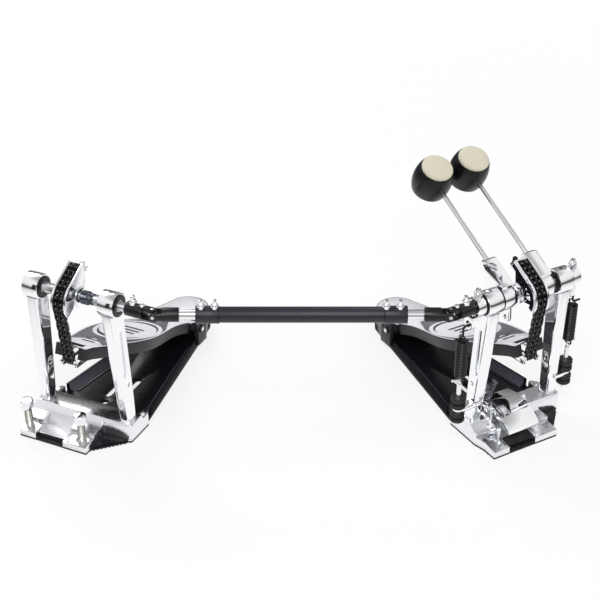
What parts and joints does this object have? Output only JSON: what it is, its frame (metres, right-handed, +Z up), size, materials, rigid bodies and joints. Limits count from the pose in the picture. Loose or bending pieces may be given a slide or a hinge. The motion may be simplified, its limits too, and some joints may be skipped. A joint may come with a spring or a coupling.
{
  "type": "double bass drum pedal",
  "caption": "Double bass drum pedal: a main unit with twin beaters, a slave unit and a telescoping universal-joint shaft, with chain-driven cams and return springs.",
  "frame": {"origin": "floor under the middle of the main unit's axle", "axes": "+X along the main axle to the main unit's right seen from the heel's far side, +Y from the axle towards the heel, +Z up"},
  "size_m": [0.5569, 0.4315, 0.2718],
  "materials": {
    "rubber": "matt ribbed rubber",
    "black_plate": "black powder coat",
    "chrome": "bright chrome on castings and bar",
    "steel": "machined steel",
    "board": "dark violet grey lacquer",
    "heel_metal": "dark silver lacquer",
    "black_chain": "black oxide roller chain",
    "cam_metal": "polished cam, black web",
    "black_metal": "black oxide",
    "tube": "charcoal anodised tube",
    "beater_black": "black moulded barrel",
    "beater_pad": "cream pad",
    "knob_black": "black knurled knob",
    "spring_black": "black wound wire"
  },
  "bodies": {
    "main_frame": {"main_sole": "rubber", "main_base_plate": "black_plate", "main_bed": "chrome", "main_left_post": "chrome", "main_right_post": "chrome", "main_bearings": "black_metal", "main_heel_plate": "heel_metal", "main_heel_pin": "chrome", "spring_stems": "steel"},
    "main_footboard": {"main_footboard": "board", "main_toe_clevis": "chrome"},
    "main_axle": {"main_axle": "steel", "main_cam": "cam_metal", "main_chain_wrap": "black_chain", "main_holder": "chrome", "main_beater_rod": "chrome", "main_beater_head": "beater_black", "main_beater_face": "beater_pad", "main_rocker": "chrome"},
    "main_chain": {"main_chain_run": "black_chain"},
    "main_spring": {"main_spring_hook": "black_metal", "main_spring": "spring_black"},
    "main_knob": {"main_spring_knob": "knob_black"},
    "second_axle": {"second_axle": "steel", "second_holder": "chrome", "second_beater_rod": "chrome", "second_beater_head": "beater_black", "second_beater_face": "beater_pad", "second_rocker": "chrome", "second_axle_yoke": "black_metal"},
    "second_spring": {"second_spring_hook": "black_metal", "second_spring": "spring_black"},
    "second_knob": {"second_spring_knob": "knob_black"},
    "clamp_jaw": {"clamp_jaw": "chrome"},
    "clamp_screw": {"clamp_screw": "black_metal"},
    "drive_shaft": {"drive_tube": "tube", "main_rod": "chrome", "main_tube_yoke": "black_metal"},
    "main_cross": {"main_cross": "black_metal"},
    "slave_rod": {"slave_rod": "chrome", "slave_tube_yoke": "black_metal"},
    "slave_cross": {"slave_cross": "black_metal"},
    "slave_frame": {"slave_sole": "rubber", "slave_base_plate": "black_plate", "slave_bed": "chrome", "slave_left_post": "chrome", "slave_right_post": "chrome", "slave_bearings": "black_metal", "slave_heel_plate": "heel_metal", "slave_heel_pin": "chrome"},
    "slave_left_spur": {"slave_left_spur": "steel"},
    "slave_right_spur": {"slave_right_spur": "steel"},
    "slave_footboard": {"slave_footboard": "board", "slave_toe_clevis": "chrome"},
    "slave_axle": {"slave_axle": "steel", "slave_cam": "cam_metal", "slave_chain_wrap": "black_chain", "slave_axle_yoke": "black_metal"},
    "slave_chain": {"slave_chain_run": "black_chain"}
  },
  "joints": [
    {"name": "main_pedal", "type": "hinge", "parent": "main_frame", "child": "main_footboard", "pos_m": [0, 0.19969, 0.0242], "axis": [1, 0, 0], "range_deg": [0, 7.03], "stiffness_Nm_per_rad": 15, "springref_deg": -6.88},
    {"name": "main_beat", "type": "hinge", "parent": "main_frame", "child": "main_axle", "pos_m": [0, 0, 0.17], "axis": [1, 0, 0], "range_deg": [0, 60.03]},
    {"name": "main_chain_swing", "type": "hinge", "parent": "main_axle", "child": "main_chain", "pos_m": [0, -0.0258, 0.17909], "axis": [1, 0, 0], "range_deg": [-68.6, 0], "deforming": ["main_chain_run"]},
    {"name": "main_spring_swing", "type": "hinge", "parent": "main_frame", "child": "main_spring", "pos_m": [0.068, 0.05176, 0.08035], "axis": [1, 0, 0], "range_deg": [-11.69, 0], "deforming": ["main_spring"]},
    {"name": "main_knob_turn", "type": "hinge", "parent": "main_frame", "child": "main_knob", "pos_m": [0.068, 0, 0.049], "axis": [0, 0, 1], "continuous": true},
    {"name": "second_beat", "type": "hinge", "parent": "main_frame", "child": "second_axle", "pos_m": [0, 0, 0.17], "axis": [1, 0, 0], "range_deg": [0, 61.53]},
    {"name": "second_spring_swing", "type": "hinge", "parent": "main_frame", "child": "second_spring", "pos_m": [-0.077, 0.05347, 0.08013], "axis": [1, 0, 0], "range_deg": [-11.8, 0], "deforming": ["second_spring"]},
    {"name": "second_knob_turn", "type": "hinge", "parent": "main_frame", "child": "second_knob", "pos_m": [-0.077, 0, 0.049], "axis": [0, 0, 1], "continuous": true},
    {"name": "hoop_clamp", "type": "hinge", "parent": "main_frame", "child": "clamp_jaw", "pos_m": [-0.012, 0, 0.0305], "axis": [1, 0, 0], "range_deg": [-5, 4]},
    {"name": "clamp_screw_feed", "type": "slide", "parent": "clamp_jaw", "child": "clamp_screw", "axis": [0, 0, 1], "range_m": [-0.00091, 0.00114]},
    {"name": "shaft_length", "type": "slide", "parent": "main_frame", "child": "slave_frame", "axis": [-0.866, 0.5, 0], "range_m": [-0.01, 0.045]},
    {"name": "drive_turn", "type": "hinge", "parent": "main_frame", "child": "drive_shaft", "pos_m": [-0.095, 0, 0.17], "axis": [0.866, -0.5, 0], "range_deg": [0, 56.55]},
    {"name": "main_cross_turn", "type": "hinge", "parent": "drive_shaft", "child": "main_cross", "pos_m": [-0.095, 0, 0.17], "axis": [0.5, 0.866, 0], "range_deg": [0, 27.01]},
    {"name": "slave_rod_slide", "type": "slide", "parent": "drive_shaft", "child": "slave_rod", "axis": [-0.866, 0.5, 0], "range_m": [-0.01001, 0.04501]},
    {"name": "slave_cross_turn", "type": "hinge", "parent": "slave_rod", "child": "slave_cross", "pos_m": [-0.35611, 0.15075, 0.17], "axis": [0.5, 0.866, 0], "range_deg": [-22.21, 0]},
    {"name": "slave_pedal", "type": "hinge", "parent": "slave_frame", "child": "slave_footboard", "pos_m": [-0.24702, 0.3431, 0.0242], "axis": [0.5736, -0.8192, 0], "range_deg": [0, 7.03], "stiffness_Nm_per_rad": 15, "springref_deg": -6.88},
    {"name": "slave_beat", "type": "hinge", "parent": "slave_frame", "child": "slave_axle", "pos_m": [-0.4106, 0.22857, 0.17], "axis": [0.5736, -0.8192, 0], "range_deg": [0, 60.03]},
    {"name": "slave_chain_swing", "type": "hinge", "parent": "slave_axle", "child": "slave_chain", "pos_m": [-0.43173, 0.21377, 0.17909], "axis": [0.5736, -0.8192, 0], "range_deg": [-68.6, 0], "deforming": ["slave_chain_run"]},
    {"name": "slave_left_spur_feed", "type": "slide", "parent": "slave_frame", "child": "slave_left_spur", "axis": [0, 0, 1], "range_m": [0, 0.008]},
    {"name": "slave_right_spur_feed", "type": "slide", "parent": "slave_frame", "child": "slave_right_spur", "axis": [0, 0, 1], "range_m": [0, 0.008]}
  ],
  "couplings": [
    {"joint": "main_beat", "follows": "main_pedal", "ratio": 8.53},
    {"joint": "main_chain_swing", "follows": "main_pedal", "ratio": -9.7476},
    {"joint": "main_spring_swing", "follows": "main_pedal", "ratio": -1.6617},
    {"joint": "second_beat", "follows": "slave_pedal", "ratio": 8.7432},
    {"joint": "second_spring_swing", "follows": "slave_pedal", "ratio": -1.6767},
    {"joint": "clamp_screw_feed", "follows": "hoop_clamp", "m_per_rad": -0.013},
    {"joint": "drive_turn", "follows": "slave_pedal", "ratio": 8.0353},
    {"joint": "main_cross_turn", "follows": "slave_pedal", "ratio": 3.8385},
    {"joint": "slave_rod_slide", "follows": "shaft_length", "ratio": 1},
    {"joint": "slave_cross_turn", "follows": "slave_pedal", "ratio": -3.1561},
    {"joint": "slave_beat", "follows": "slave_pedal", "ratio": 8.53},
    {"joint": "slave_chain_swing", "follows": "slave_pedal", "ratio": -9.7476}
  ]
}
